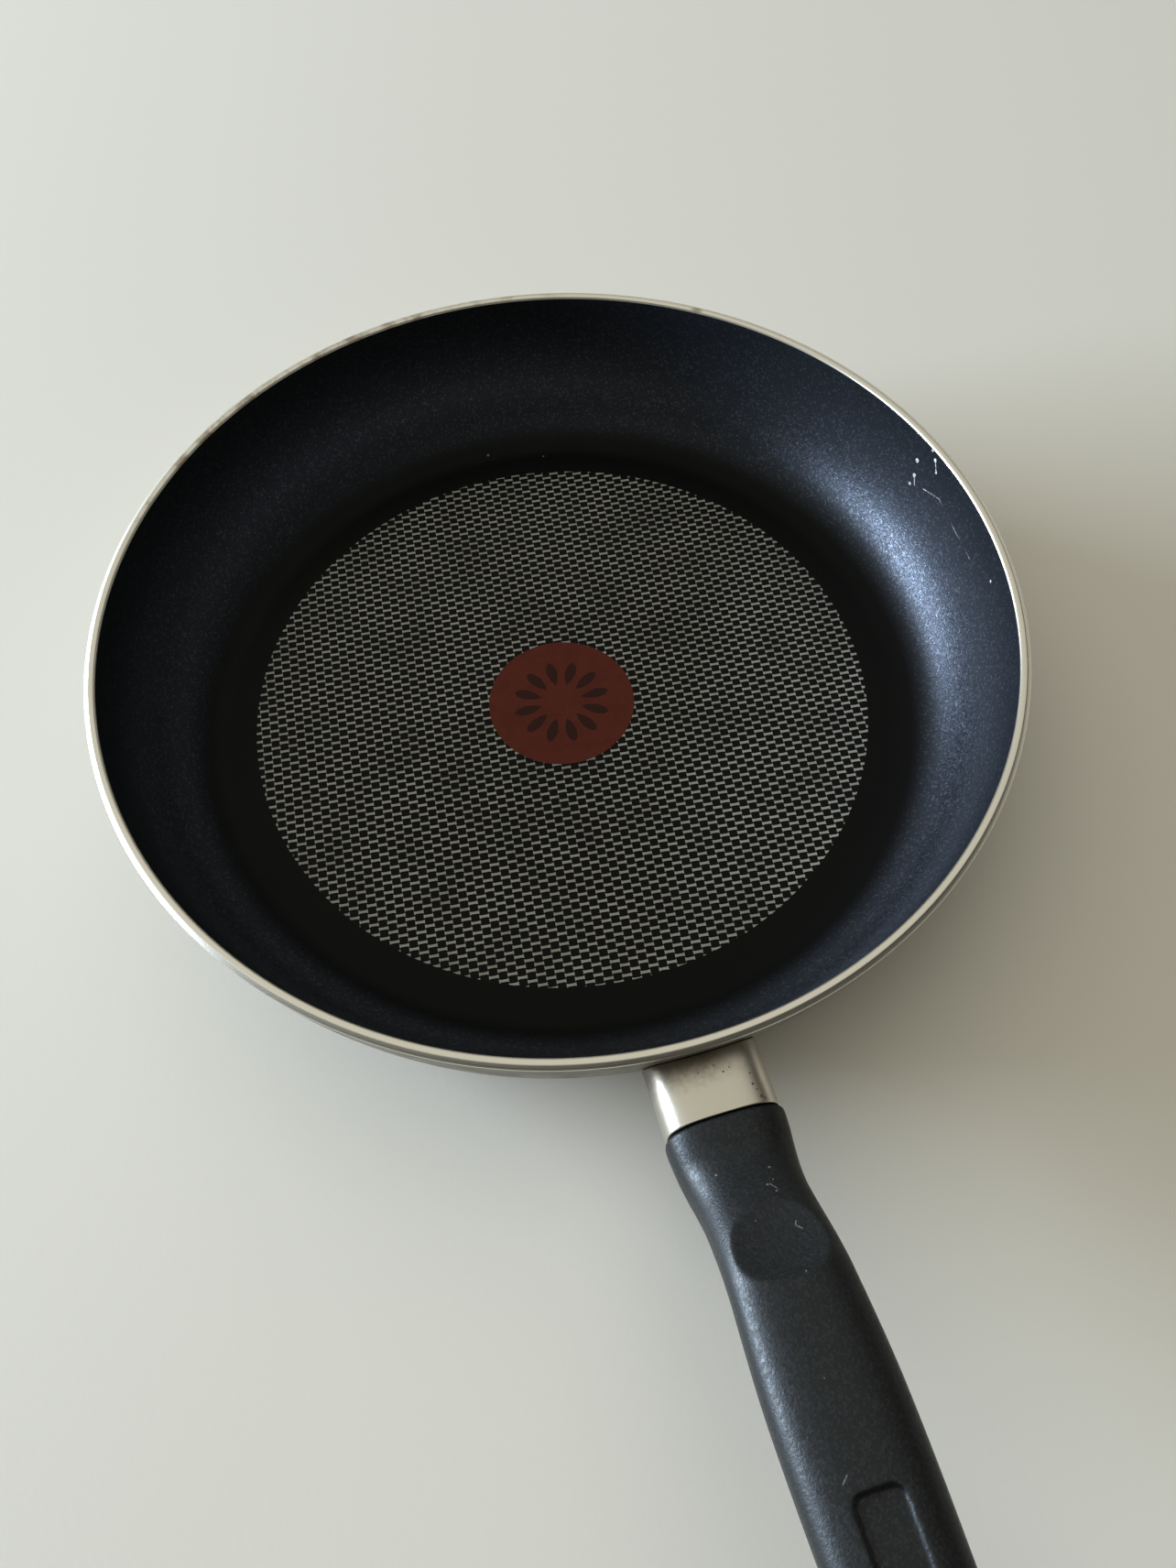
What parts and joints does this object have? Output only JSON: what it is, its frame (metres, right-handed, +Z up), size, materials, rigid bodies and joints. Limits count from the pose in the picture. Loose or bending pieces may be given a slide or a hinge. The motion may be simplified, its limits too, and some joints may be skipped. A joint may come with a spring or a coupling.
{
  "type": "burnt frying pan",
  "caption": "Round shallow aluminium frying pan with a dark non-stick inside, worn bare rim and a dark moulded handle on a metal collar.",
  "frame": {"origin": "centre of the flat underside of the pan's base", "axes": "+Z up through the bowl, +X from the centre along the handle"},
  "size_m": [0.4466, 0.26, 0.0734],
  "materials": {
    "pan": "black non-stick coating inside with a pale lattice print, bare turned rim, satin grey outside",
    "boss": "satin cast aluminium",
    "guard": "satin steel, heat stained brown at the pan end",
    "grip": "satin black thermoset moulding with fine scratches",
    "fastener": "plated steel"
  },
  "bodies": {
    "root": {"pan_body": "pan", "welded_boss": "boss", "flame_guard": "guard", "grip": "grip", "washer": "fastener", "screw": "fastener"}
  },
  "joints": []
}
